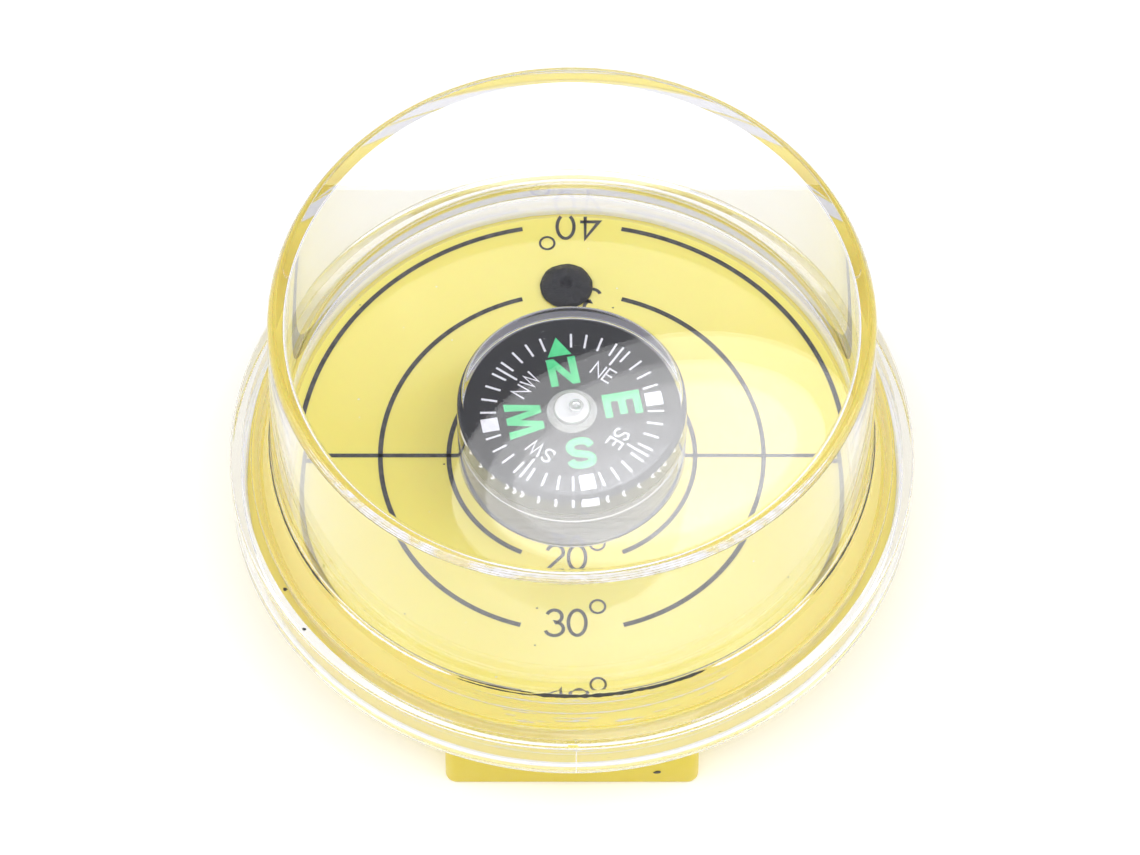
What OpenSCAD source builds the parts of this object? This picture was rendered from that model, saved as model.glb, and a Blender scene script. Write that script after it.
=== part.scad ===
// Tilt and bearing compass: a small liquid-filled compass capsule on a flat yellow dial,
// under a clear flanged cover, on a yellow base with a foot bar.
// Millimetres, +Z up. The origin is the middle of the foot's underside, on the dial's axis.

/* [Clear cover] */
// Outer diameter of the flange and skirt
flange_d = 60; // [58:0.5:64]
// Outer diameter of the wall at its foot
cover_d = 52.7; // [52.6:0.1:53.6]
// Outer diameter of the wall at its top
cover_top_d = 52.2; // [51.8:0.1:52.4]
// Thickness of the wall and of the flat top
cover_wall = 1.3; // [1.1:0.1:1.3]
// Thickness of the skirt
skirt_wall = 1.0; // [0.8:0.1:1.2]
// Height from the dial's face to the top of the cover
cover_h = 23.2; // [21:0.2:28]
// Height from the dial's face to the line where the wall begins to flare
flare_top = 4.2; // [3.8:0.1:4.6]
// Height from the dial's face to the top of the flange
flange_top = 1.3; // [1.1:0.1:1.6]
// Thickness of the flange between the foot ring and the skirt
flange_t = 0.4; // [0.3:0.05:0.6]
// Depth of the skirt's lower edge below the dial's face
skirt_drop = 3.1; // [2.9:0.1:3.4]
// Radius of the rounded top edge
rim_round = 0.8; // [0.3:0.1:1.2]

/* [Base and dial] */
// Diameter of the dial plate
dial_d = 49.9; // [49:0.1:49.9]
// Thickness of the dial plate
dial_t = 1.5; // [1:0.1:1.5]
// Thickness of the base disc at its edge
base_t = 1.2; // [1:0.1:1.4]
// Depth of the base disc's upper face below the dial's face
base_drop = 2.6; // [2.5:0.1:2.8]

/* [Foot] */
// Width of the foot bar
foot_w = 22; // [18:0.5:26]
// Length of the foot bar, front to back
foot_l = 54.6; // [44:0.2:55]
// Height of the foot bar
foot_h = 5.7; // [5:0.1:9]
// Thickness of the foot bar's walls and floor
foot_wall = 2; // [1.8:0.1:2.4]
// Distance of each screw from the middle
screw_pitch = 17; // [12:0.5:19]

/* [Compass capsule] */
// Diameter of the capsule
capsule_d = 20; // [20:0.2:21]
// Height of the capsule
capsule_h = 8; // [7.8:0.1:9]
// Height of the capsule's lower half
capsule_low_h = 4.4; // [4.2:0.1:4.5]
// Thickness of the capsule's floor and lid
capsule_wall = 0.8; // [0.6:0.1:0.8]
// Thickness of the capsule's side
capsule_side = 0.35; // [0.3:0.01:0.35]
// Thickness of the adhesive disc under the capsule
adhesive_t = 1; // [0.6:0.1:1.4]

/* [Compass card] */
// Diameter of the card
card_d = 19; // [17:0.1:19]
// Depth of the card's face below the capsule's top
card_depth = 2.7; // [2.6:0.05:2.8]
// Thickness of the card
card_t = 0.3; // [0.2:0.05:0.35]
// Heading of the card's north mark, anticlockwise from the back of the dial
card_heading = 10.7; // [0:0.1:360]

/* [Filler plug] */
// Diameter of the plug's head
plug_d = 4.8; // [4:0.1:5.4]
// Height of the plug's head above the dial
plug_h = 0.9; // [0.6:0.1:1.4]
// Place of the plug on the dial, to the right and to the back
plug_at = [-0.5, 17.5];

/* [Hidden] */
$fn = 96;

// Running gap between fixed pieces and the turning card
gap = 0.1;
// Fitting gap between pieces that slip together
slip = 0.05;

// Levels of the base and the dial
base_z = foot_h;
dial_z = base_z + base_t + base_drop;
glue_film = 0.1;
pedestal_top = dial_z - dial_t - glue_film;
pedestal_r = dial_d / 2 - 0.3;

// The cover's radii and levels
cover_r = cover_d / 2;
cover_top_r = cover_top_d / 2;
flange_r = flange_d / 2;
cover_in_r = cover_r - cover_wall;
cover_top_in_r = cover_top_r - cover_wall;
skirt_in_r = flange_r - skirt_wall;
base_r = skirt_in_r - slip;
cover_top_z = dial_z + cover_h;
flare_z = dial_z + flare_top;
flange_z = dial_z + flange_top;
skirt_z = dial_z - skirt_drop;
flare_out_r = flange_r - 2;
flange_in_z = flange_z - flange_t;
foot_ring_z = dial_z - base_drop;

// Screws and the bosses that take them
screw_d = 2.9;
screw_head_d = 5.4;
screw_head_h = 1.5;
screw_end_z = base_z + 1;
boss_d = 6.4;
foot_corner = 1;

// Levels of the capsule
capsule_r = capsule_d / 2;
capsule_in_r = capsule_r - capsule_side;
capsule_z = dial_z + adhesive_t;
capsule_top_z = capsule_z + capsule_h;
seam_t = 0.2;
seam_z = capsule_z + capsule_low_h - seam_t / 2;
capsule_floor_z = capsule_z + capsule_wall;
capsule_ceiling_z = capsule_top_z - capsule_wall;
fill_hole_d = 1.4;
fill_hole_at = 6.6;

// The card and what turns with it
card_z = capsule_top_z - card_depth;
card_r = card_d / 2;
card_under_z = card_z - card_t;
hub_r = 1.6;
hub_wall = 0.3;
hub_h = 1.15;
hub_top_z = card_z + hub_h;
float_r = 2.2;
float_h = 0.45;
magnet_r = 4.2;
magnet_t = 0.8;
stop_r = 0.65;

// The needle and its boss
boss_r = 1.5;
boss_top_z = capsule_floor_z + 2;
needle_r = 0.3;
jewel_r = 0.75;
jewel_t = 0.45;
jewel_z = hub_top_z - hub_wall - jewel_t;
needle_tip_z = jewel_z + 0.2;

// A ring of rectangular section: inner radius, outer radius, bottom level, height
module ring(inner, outer, z, h) {
    translate([0, 0, z])
        rotate_extrude()
            translate([inner, 0])
                square([outer - inner, h]);
}

// A disc: radius, bottom level, height
module disc(r, z, h) {
    translate([0, 0, z])
        cylinder(r = r, h = h);
}

// Quarter of a circle that rounds an outer top corner: its centre and radius
module quarter_round(x, z, corner) {
    translate([x, z])
        intersection() {
            circle(r = corner);
            square(corner);
        }
}

// Half of an upright section with its outer top corner rounded, for turning round the axis
module rounded_section(r, z, h, corner) {
    translate([0, z]) {
        square([r - corner, h]);
        square([r, h - corner]);
    }
    quarter_round(r - corner, z + h - corner, corner);
}

// Plan of the foot bar with rounded corners
module foot_plan(w, l, corner) {
    square([w - 2 * corner, l], center = true);
    square([w, l - 2 * corner], center = true);
    for (x = [-1, 1], y = [-1, 1])
        translate([x * (w / 2 - corner), y * (l / 2 - corner)])
            circle(r = corner);
}

// Repeats a piece at both screw positions
module at_screws() {
    for (y = [-screw_pitch, screw_pitch])
        translate([0, y, 0])
            children();
}

// Clear moulded cup, upside down, with a thick flared foot ring, a flange and a skirt
module clear_cover() {
    color([0.93, 0.94, 0.96, 0.35])
        rotate_extrude()
            difference() {
                union() {
                    polygon([[0, skirt_z], [flange_r, skirt_z], [flange_r, flange_z],
                             [flare_out_r, flange_z], [cover_r, flare_z],
                             [cover_top_r, cover_top_z - rim_round],
                             [cover_top_r - rim_round, cover_top_z], [0, cover_top_z]]);
                    quarter_round(cover_top_r - rim_round, cover_top_z - rim_round, rim_round);
                }
                polygon([[-1, skirt_z - 1], [skirt_in_r, skirt_z - 1], [skirt_in_r, flange_in_z],
                         [flare_out_r, flange_in_z], [flare_out_r, foot_ring_z],
                         [cover_in_r, foot_ring_z], [cover_top_in_r, cover_top_z - cover_wall],
                         [-1, cover_top_z - cover_wall]]);
            }
}

// Adhesive bead in the corner between the skirt and the base disc
module cover_glue_ring() {
    bead = 0.5;
    color([0.97, 0.96, 0.9, 0.8])
        rotate_extrude()
            translate([skirt_in_r - bead, foot_ring_z])
                square(bead);
}

// Yellow moulded base: a disc with a low pedestal above it and two screw bosses below it
module base_shell() {
    groove_w = 1;
    groove_depth = 0.3;
    color([0.95, 0.86, 0.42])
        difference() {
            union() {
                disc(base_r, base_z, base_t);
                disc(pedestal_r, base_z, pedestal_top - base_z);
                at_screws()
                    disc(boss_d / 2, foot_wall, base_z - foot_wall + 0.1);
            }
            at_screws()
                disc(screw_d / 2, foot_wall - 1, screw_end_z - foot_wall + 1.2);
            ring(base_r - 2.6, base_r - 2.6 + groove_w, base_z - 1, 1 + groove_depth);
            translate([plug_at.x, plug_at.y, 0])
                disc(1.9, pedestal_top - 0.8, 1);
        }
}

// Adhesive film between the pedestal and the dial plate
module dial_adhesive() {
    color([0.96, 0.95, 0.88])
        difference() {
            disc(pedestal_r - 0.5, pedestal_top, glue_film);
            translate([plug_at.x, plug_at.y, 0])
                disc(1.9, pedestal_top - 1, 2);
        }
}

// Flat yellow dial that carries the printed rings
module dial_plate() {
    color([0.98, 0.92, 0.55])
        difference() {
            disc(dial_d / 2, dial_z - dial_t, dial_t);
            translate([plug_at.x, plug_at.y, 0])
                disc(1.5, dial_z - dial_t - 1, dial_t + 2);
        }
}

// Black rubber plug: a low domed head with a dimple, a stem, and a barb below the dial
module filler_plug() {
    stem_r = 1.5 - slip;
    head_r = plug_d / 2;
    sphere_r = (head_r * head_r + plug_h * plug_h) / (2 * plug_h);
    color([0.12, 0.12, 0.13])
        translate([plug_at.x, plug_at.y, dial_z])
            difference() {
                union() {
                    intersection() {
                        translate([0, 0, plug_h - sphere_r])
                            sphere(r = sphere_r);
                        cylinder(r = head_r, h = plug_h);
                    }
                    translate([0, 0, -dial_t])
                        cylinder(r = stem_r, h = dial_t + 0.1);
                    translate([0, 0, -dial_t - 0.8])
                        cylinder(r1 = stem_r - 0.4, r2 = stem_r + 0.3, h = 0.7);
                    translate([0, 0, -dial_t - 0.2])
                        cylinder(r = stem_r - 0.2, h = 0.3);
                }
                translate([0, 0, plug_h - 0.25])
                    cylinder(r1 = 0.3, r2 = 0.6, h = 0.4);
            }
}

// Yellow foot bar: a tray open at the top, with two countersunk screw holes in its floor
module foot_block() {
    rib_t = 1;
    rib_pitch = 8.5;
    color([0.94, 0.86, 0.4])
        difference() {
            linear_extrude(foot_h)
                foot_plan(foot_w, foot_l, foot_corner);
            translate([0, 0, foot_wall])
                linear_extrude(foot_h)
                    foot_plan(foot_w - 2 * foot_wall, foot_l - 2 * foot_wall, foot_corner);
            at_screws() {
                translate([0, 0, -1])
                    cylinder(d = screw_d + 0.2, h = foot_wall + 2);
                translate([0, 0, -0.001])
                    cylinder(d1 = screw_head_d + 0.2, d2 = screw_d + 0.2, h = screw_head_h);
            }
        }
    color([0.94, 0.86, 0.4])
        for (y = [-rib_pitch, 0, rib_pitch])
            translate([-foot_w / 2 + foot_wall, y - rib_t / 2, foot_wall])
                cube([foot_w - 2 * foot_wall, rib_t, foot_h - foot_wall]);
}

// The two countersunk screws that hold the foot bar, with crossed driver slots
module foot_screws() {
    slot_w = 0.7;
    sunk = 0.1;
    color([0.75, 0.76, 0.78])
        at_screws()
            difference() {
                union() {
                    translate([0, 0, sunk])
                        cylinder(d1 = screw_head_d, d2 = screw_d, h = screw_head_h - sunk);
                    translate([0, 0, sunk])
                        cylinder(d = screw_d, h = screw_end_z - sunk);
                }
                for (turn = [0, 90])
                    rotate([0, 0, turn])
                        translate([-1.4, -slot_w / 2, -1])
                            cube([2.8, slot_w, 1.9]);
            }
}

// Adhesive disc between the dial and the capsule
module capsule_adhesive() {
    color([0.94, 0.93, 0.88])
        disc(capsule_r - 0.6, dial_z, adhesive_t);
}

// Lower half of the capsule, with the needle's boss in its floor
module capsule_base() {
    color([0.8, 0.82, 0.86, 0.5])
        difference() {
            union() {
                ring(capsule_in_r, capsule_r, capsule_z, seam_z - capsule_z);
                disc(capsule_r, capsule_z, capsule_wall);
                disc(boss_r, capsule_z, boss_top_z - capsule_z);
            }
            disc(needle_r, boss_top_z - 1.2, 2);
            translate([fill_hole_at, 0, 0])
                disc(fill_hole_d / 2, capsule_z - 1, 3);
        }
}

// Welded seam between the halves of the capsule
module capsule_seam_ring() {
    color([0.97, 0.97, 0.98, 0.8])
        ring(capsule_in_r, capsule_r, seam_z, seam_t);
}

// Upper half of the capsule, with a stop that keeps the card on its needle
module capsule_dome() {
    dome_z = seam_z + seam_t;
    color([0.93, 0.95, 0.97, 0.35])
        union() {
            rotate_extrude()
                difference() {
                    rounded_section(capsule_r, dome_z, capsule_top_z - dome_z, 0.5);
                    translate([-1, dome_z - 1])
                        square([capsule_in_r + 1, capsule_ceiling_z - dome_z + 1]);
                }
            disc(stop_r, hub_top_z + gap, capsule_ceiling_z - hub_top_z - gap + 0.1);
        }
}

// Plug in the hole through which the capsule is filled
module capsule_fill_plug() {
    color([0.85, 0.86, 0.88])
        translate([fill_hole_at, 0, 0])
            disc(fill_hole_d / 2, capsule_z, capsule_wall);
}

// Half of the upright section of a disc: radius, bottom level, height
module half_section(r, z, h) {
    translate([-1, z])
        square([r + 1, h]);
}

// Half of the section of the room that the turning pieces sweep, with the running gap
module card_room_section() {
    half_section(card_r + gap, card_under_z - gap, card_t + 2 * gap);
    half_section(magnet_r + gap, card_under_z - magnet_t - gap, magnet_t + gap);
    half_section(float_r + gap, card_z, float_h + gap);
    half_section(hub_r + gap, card_z, hub_top_z + gap - card_z);
}

// Clear liquid that fills the capsule round the card
module damping_fluid() {
    color([0.9, 0.95, 1, 0.25])
        rotate_extrude()
            difference() {
                translate([0, capsule_floor_z])
                    square([capsule_in_r, capsule_ceiling_z - capsule_floor_z]);
                card_room_section();
                half_section(boss_r, capsule_floor_z - 1, boss_top_z - capsule_floor_z + 1);
                half_section(needle_r, boss_top_z - 1, card_z - boss_top_z + 1);
                half_section(stop_r, hub_top_z, capsule_ceiling_z - hub_top_z + 1);
            }
}

// Steel needle with a ground point, fixed in the capsule's boss
module pivot_needle() {
    point_h = 0.7;
    foot_z = boss_top_z - 1.2;
    color([0.8, 0.8, 0.82])
        translate([0, 0, foot_z])
            rotate_extrude()
                polygon([[0, 0], [needle_r, 0], [needle_r, needle_tip_z - point_h - foot_z],
                         [0.03, needle_tip_z - foot_z], [0, needle_tip_z - foot_z]]);
}

// Black card with a hole for the hub
module compass_card() {
    color([0.08, 0.08, 0.09])
        rotate([0, 0, card_heading])
            ring(hub_r, card_r, card_under_z, card_t);
}

// Ring magnet under the card
module card_magnet() {
    color([0.35, 0.35, 0.37])
        ring(hub_r, magnet_r, card_under_z - magnet_t, magnet_t);
}

// Clear collar round the hub, on the card's face
module card_float() {
    color([0.9, 0.92, 0.94, 0.5])
        ring(hub_r, float_r, card_z, float_h);
}

// Silver cap of the hub, open below
module hub_cap() {
    color([0.86, 0.86, 0.87])
        rotate_extrude()
            difference() {
                translate([0, card_under_z - magnet_t])
                    square([hub_r, hub_top_z - card_under_z + magnet_t]);
                translate([-1, card_under_z - magnet_t - 1])
                    square([jewel_r + 1, hub_top_z - hub_wall - card_under_z + magnet_t + 1]);
            }
}

// Bearing stone in the hub, with a conical seat for the needle's point
module jewel() {
    color([0.75, 0.12, 0.2])
        difference() {
            disc(jewel_r, jewel_z, jewel_t);
            translate([0, 0, jewel_z - 0.01])
                cylinder(r1 = 0.4, r2 = 0.06, h = needle_tip_z - jewel_z + 0.05);
        }
}

clear_cover();
cover_glue_ring();
base_shell();
dial_adhesive();
dial_plate();
filler_plug();
foot_block();
foot_screws();
capsule_adhesive();
capsule_base();
capsule_seam_ring();
capsule_dome();
capsule_fill_plug();
damping_fluid();
pivot_needle();
compass_card();
card_magnet();
card_float();
hub_cap();
jewel();
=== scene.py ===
"""Tilt and bearing compass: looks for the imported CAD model, in metres, +Z up."""
import math
import random

import bmesh
import bpy
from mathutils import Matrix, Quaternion, Vector, noise


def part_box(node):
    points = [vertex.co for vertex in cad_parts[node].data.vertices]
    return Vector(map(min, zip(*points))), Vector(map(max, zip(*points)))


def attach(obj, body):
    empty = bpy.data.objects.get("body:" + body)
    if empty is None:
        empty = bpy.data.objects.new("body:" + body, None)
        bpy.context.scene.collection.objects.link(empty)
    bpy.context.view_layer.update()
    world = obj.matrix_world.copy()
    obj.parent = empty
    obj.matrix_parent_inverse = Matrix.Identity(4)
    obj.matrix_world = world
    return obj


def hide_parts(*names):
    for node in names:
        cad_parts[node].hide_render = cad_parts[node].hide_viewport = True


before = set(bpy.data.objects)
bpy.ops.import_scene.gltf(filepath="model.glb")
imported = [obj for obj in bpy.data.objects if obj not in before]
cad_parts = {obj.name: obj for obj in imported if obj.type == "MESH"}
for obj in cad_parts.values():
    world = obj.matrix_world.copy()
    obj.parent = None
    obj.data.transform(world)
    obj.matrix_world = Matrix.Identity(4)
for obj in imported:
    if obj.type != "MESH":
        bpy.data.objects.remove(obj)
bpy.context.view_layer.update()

MM = 0.001
TAU = 2 * math.pi
GUARD = 0.01 * MM


# ---------------------------------------------------------------- sizes, in metres
cover_low, cover_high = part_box("clear_cover")
dial_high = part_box("dial_plate")[1]
base_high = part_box("base_shell")[1]
foot_low, foot_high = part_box("foot_block")
card_low, card_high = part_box("compass_card")
capsule_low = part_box("capsule_base")[0]
capsule_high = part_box("capsule_dome")[1]
seam_low, seam_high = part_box("capsule_seam_ring")
hub_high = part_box("hub_cap")[1]
plug_low, plug_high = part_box("filler_plug")
bead_low, bead_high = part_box("cover_glue_ring")

FLANGE_R = cover_high.y - 0.02 * MM
COVER_TOP = cover_high.z
SKIRT_LOW = cover_low.z
DIAL_R = dial_high.x
DIAL_Z = dial_high.z
CARD_R = card_high.x
CARD_Z = card_high.z
CAPSULE_R = capsule_high.x
CAPSULE_LOW = capsule_low.z
CAPSULE_TOP = capsule_high.z

COVER_R = 26.35 * MM
COVER_TOP_R = 26.1 * MM
COVER_WALL = 1.3 * MM
COVER_TOP_BEND = 0.8 * MM
CORNER_BEND = 3.0 * MM
SKIRT_WALL = 1.0 * MM
SKIRT_FACE_R = FLANGE_R - 0.01 * MM
FLARE_Z = DIAL_Z + 4.2 * MM
FLANGE_Z = DIAL_Z + 1.3 * MM
FLARE_OUT_R = FLANGE_R - 2.0 * MM
FLANGE_T = 0.35 * MM
BOND = 0.01 * MM
BASE_TOP = DIAL_Z - 2.6 * MM
INK = 0.02 * MM
CARD_HEADING = math.radians(10.7)


# ---------------------------------------------------------------- mesh helpers
def link(obj):
    bpy.context.scene.collection.objects.link(obj)
    return obj


def finish_mesh(name, bm, sharp_deg=32.0):
    """Object from a bmesh: outward normals, smooth faces, sharp edges past an angle."""
    bmesh.ops.remove_doubles(bm, verts=bm.verts, dist=1e-8)
    bmesh.ops.recalc_face_normals(bm, faces=bm.faces)
    limit = math.radians(sharp_deg)
    for face in bm.faces:
        face.smooth = True
    for edge in bm.edges:
        edge.smooth = len(edge.link_faces) == 2 and edge.calc_face_angle(0.0) < limit
    mesh = bpy.data.meshes.new(name)
    bm.to_mesh(mesh)
    bm.free()
    return link(bpy.data.objects.new(name, mesh))


def filleted(corners, step_deg=12.0, closed=True):
    """Outline with rounded corners. Each corner is (r, z, radius of the rounding).

    A guard point on both sides of a rounding keeps the flats next to it flat in shading.
    """
    out = []
    count = len(corners)
    for i, (x, z, rad) in enumerate(corners):
        here = Vector((x, z))
        ends = not closed and i in (0, count - 1)
        if rad <= 0 or ends:
            out.append(here)
            continue
        a = (Vector(corners[i - 1][:2]) - here).normalized()
        b = (Vector(corners[(i + 1) % count][:2]) - here).normalized()
        half = a.angle(b) / 2
        centre = here + (a + b).normalized() * (rad / math.sin(half))
        start = here + a * (rad / math.tan(half)) - centre
        end = here + b * (rad / math.tan(half)) - centre
        turn = start.angle_signed(end)
        steps = max(2, math.ceil(abs(math.degrees(turn)) / step_deg))
        out.append(centre + start + a * GUARD)
        for k in range(steps + 1):
            t = -turn * k / steps
            c, s = math.cos(t), math.sin(t)
            out.append(centre + Vector((start.x * c - start.y * s, start.x * s + start.y * c)))
        out.append(centre + end + b * GUARD)
    return out


def revolve(name, outline, segments=192, closed=True, shape=None, centre=(0, 0)):
    """Turns an outline of (r, z) points round the axis. shape may move each vertex."""
    bm = bmesh.new()
    rings = []
    for p in outline:
        if p[0] < 1e-9:
            rings.append([bm.verts.new((centre[0], centre[1], p[1]))])
            continue
        ring = []
        for k in range(segments):
            a = TAU * k / segments
            co = Vector((p[0] * math.cos(a), p[0] * math.sin(a), p[1]))
            if shape:
                co = shape(co)
            ring.append(bm.verts.new((co.x + centre[0], co.y + centre[1], co.z)))
        rings.append(ring)
    pairs = list(zip(rings, rings[1:]))
    if closed:
        pairs.append((rings[-1], rings[0]))
    for a, b in pairs:
        if len(a) == 1 and len(b) == 1:
            continue
        for k in range(segments):
            n = (k + 1) % segments
            quad = [a[k % len(a)], a[n % len(a)], b[n % len(b)], b[k % len(b)]]
            quad = list(dict.fromkeys(quad))
            bm.faces.new(quad)
    return finish_mesh(name, bm)


def plate(bm, outline, lift):
    """Adds a thin closed plate: a polygon in space and the same polygon lifted by a vector."""
    top = [bm.verts.new(p + lift) for p in outline]
    low = [bm.verts.new(p) for p in outline]
    bm.faces.new(top)
    bm.faces.new(list(reversed(low)))
    count = len(outline)
    for i in range(count):
        j = (i + 1) % count
        bm.faces.new((top[j], top[i], low[i], low[j]))


def slab(bm, outline, z, thick):
    """Adds a thin closed plate that lies flat, with an outline of (x, y) points."""
    plate(bm, [Vector((p[0], p[1], z)) for p in outline], Vector((0, 0, thick)))


def tube_faces(bm, rows, closed=False):
    """Skins rows of four corners into a closed strip, or into a ring if closed."""
    pairs = list(zip(rows, rows[1:]))
    if closed:
        pairs.append((rows[-1], rows[0]))
    else:
        bm.faces.new(rows[0])
        bm.faces.new(list(reversed(rows[-1])))
    for a, b in pairs:
        for k in range(4):
            m = (k + 1) % 4
            bm.faces.new((a[k], b[k], b[m], a[m]))


def ribbon(bm, path, width, z, thick, closed=False):
    """Adds a thin closed strip of even width along a flat path, with mitred joints."""
    pts = [Vector((p[0], p[1])) for p in path]
    count = len(pts)
    left, right = [], []
    for i, p in enumerate(pts):
        back = p - pts[i - 1] if closed or i else pts[1] - p
        ahead = pts[(i + 1) % count] - p if closed or i < count - 1 else p - pts[i - 1]
        back.normalize()
        ahead.normalize()
        normal = Vector((-(back + ahead).y, (back + ahead).x)).normalized()
        spread = max(0.45, normal.dot(Vector((-ahead.y, ahead.x))))
        left.append(p + normal * (width / 2 / spread))
        right.append(p - normal * (width / 2 / spread))
    rows = []
    for p, q in zip(left, right):
        rows.append([bm.verts.new((p.x, p.y, z + thick)), bm.verts.new((q.x, q.y, z + thick)),
                     bm.verts.new((q.x, q.y, z)), bm.verts.new((p.x, p.y, z))])
    tube_faces(bm, rows, closed)


def spline(points, steps=8):
    """Smooth path through points (Catmull-Rom)."""
    pts = [Vector(p) for p in points]
    pts = [2 * pts[0] - pts[1]] + pts + [2 * pts[-1] - pts[-2]]
    out = []
    for i in range(1, len(pts) - 2):
        a, b, c, d = pts[i - 1:i + 3]
        for k in range(steps):
            t = k / steps
            out.append(0.5 * (2 * b + (c - a) * t + (2 * a - 5 * b + 4 * c - d) * t * t
                              + (3 * b - a - 3 * c + d) * t * t * t))
    out.append(pts[-2])
    return out


def arc(cx, cy, rx, ry, start_deg, end_deg, steps=28):
    """Points on an ellipse's arc, anticlockwise from +X."""
    span = [math.radians(start_deg + (end_deg - start_deg) * k / steps) for k in range(steps + 1)]
    return [Vector((cx + rx * math.cos(a), cy + ry * math.sin(a))) for a in span]


# ---------------------------------------------------------------- characters, one unit tall
def glyph_strokes(char):
    """Strokes of a thin character in a box 1 high: (width, [(path, closed), ...])."""
    s_path = spline([(0.60, 0.82), (0.46, 0.97), (0.28, 0.99), (0.08, 0.88), (0.09, 0.66),
                     (0.31, 0.53), (0.55, 0.42), (0.62, 0.20), (0.46, 0.03), (0.28, 0.01),
                     (0.11, 0.05), (0.02, 0.20)])
    return {
        "0": (0.60, [(arc(0.30, 0.5, 0.30, 0.5, 0, 360, 40)[:-1], True)]),
        "2": (0.60, [(arc(0.30, 0.71, 0.28, 0.29, 165, -25, 20)
                      + [Vector((0.0, 0.0)), Vector((0.60, 0.0))], False)]),
        "3": (0.60, [(arc(0.28, 0.745, 0.26, 0.255, 160, -75, 22)
                      + arc(0.28, 0.26, 0.31, 0.27, 80, -165, 26), False)]),
        "4": (0.66, [([(0.50, 0.0), (0.50, 1.0), (0.01, 0.30), (0.68, 0.30)], False)]),
        "N": (0.70, [([(0.0, 0.0), (0.0, 1.0), (0.70, 0.0), (0.70, 1.0)], False)]),
        "E": (0.58, [([(0.58, 1.0), (0.0, 1.0), (0.0, 0.0), (0.58, 0.0)], False),
                     ([(0.0, 0.5), (0.52, 0.5)], False)]),
        "S": (0.64, [(s_path, False)]),
        "W": (0.98, [([(0.0, 1.0), (0.24, 0.0), (0.49, 1.0), (0.74, 0.0), (0.98, 1.0)], False)]),
    }[char]


def bold_glyph(char):
    """A bold capital in a box 1 high: (width, outline or None, strokes)."""
    bar = 0.24
    if char == "N":
        w = 0.92
        outline = [(0, 0), (bar, 0), (bar, 0.62), (w - bar, 0), (w, 0),
                   (w, 1), (w - bar, 1), (w - bar, 0.38), (bar, 1), (0, 1)]
        return w, outline, []
    if char == "E":
        w, arm = 0.72, 0.20
        outline = [(0, 0), (w, 0), (w, arm), (bar, arm), (bar, 0.4), (w - 0.05, 0.4),
                   (w - 0.05, 0.4 + arm), (bar, 0.4 + arm), (bar, 1 - arm), (w, 1 - arm),
                   (w, 1), (0, 1)]
        return w, outline, []
    if char == "W":
        w, foot, mid = 1.16, 0.20, 0.11
        half = [(0, 1), (foot, 0), (foot + bar, 0), (w / 2, 0.62)]
        inner = [(w / 2 - mid, 1), (foot + mid + 0.01, 0.32), (bar, 1)]
        mirror = [(w - x, y) for x, y in reversed(half[:-1])]
        inner_mirror = [(w - x, y) for x, y in reversed(inner)]
        return w, half + mirror + inner_mirror + inner, []
    path = spline([(0.74, 0.70), (0.68, 0.83), (0.52, 0.885), (0.38, 0.89), (0.20, 0.84),
                   (0.14, 0.70), (0.24, 0.59), (0.42, 0.53), (0.62, 0.45), (0.70, 0.29),
                   (0.60, 0.15), (0.42, 0.11), (0.22, 0.15), (0.11, 0.31)])
    return 0.84, None, [(path, False, 0.215)]


class Place:
    """Moves flat points to a spot on a disc: turn, then shift."""

    def __init__(self, x, y, turn=0.0):
        self.x, self.y = x, y
        self.c, self.s = math.cos(turn), math.sin(turn)

    def __call__(self, points):
        return [Vector((self.x + p[0] * self.c - p[1] * self.s,
                        self.y + p[0] * self.s + p[1] * self.c)) for p in points]


# ---------------------------------------------------------------- materials
def new_material(name):
    mat = bpy.data.materials.new(name)
    mat.use_nodes = True
    nodes = mat.node_tree.nodes
    return mat, nodes, mat.node_tree.links, nodes["Principled BSDF"]


def noise_tex(nodes, links, scale, detail=3.0, rough=0.55, stretch=None):
    """Noise in object space, in cycles per metre, stretched by a vector if given."""
    coord = nodes.new("ShaderNodeTexCoord")
    tex = nodes.new("ShaderNodeTexNoise")
    tex.inputs["Scale"].default_value = scale
    tex.inputs["Detail"].default_value = detail
    tex.inputs["Roughness"].default_value = rough
    if stretch:
        mapping = nodes.new("ShaderNodeMapping")
        mapping.inputs["Scale"].default_value = stretch
        links.new(coord.outputs["Object"], mapping.inputs["Vector"])
        links.new(mapping.outputs["Vector"], tex.inputs["Vector"])
    else:
        links.new(coord.outputs["Object"], tex.inputs["Vector"])
    return tex


def ramp(nodes, links, source, stops):
    """Colour ramp from a value: stops are (place, colour or grey)."""
    node = nodes.new("ShaderNodeValToRGB")
    links.new(source, node.inputs["Fac"])
    elements = node.color_ramp.elements
    while len(elements) < len(stops):
        elements.new(0.5)
    for element, (place, colour) in zip(elements, stops):
        rgb = (colour,) * 3 if isinstance(colour, float) else colour
        element.position = place
        element.color = (*rgb, 1.0)
    return node.outputs["Color"]


def bump(nodes, links, height, shader, strength, distance):
    node = nodes.new("ShaderNodeBump")
    node.inputs["Strength"].default_value = strength
    node.inputs["Distance"].default_value = distance
    links.new(height, node.inputs["Height"])
    links.new(node.outputs["Normal"], shader.inputs["Normal"])


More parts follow.
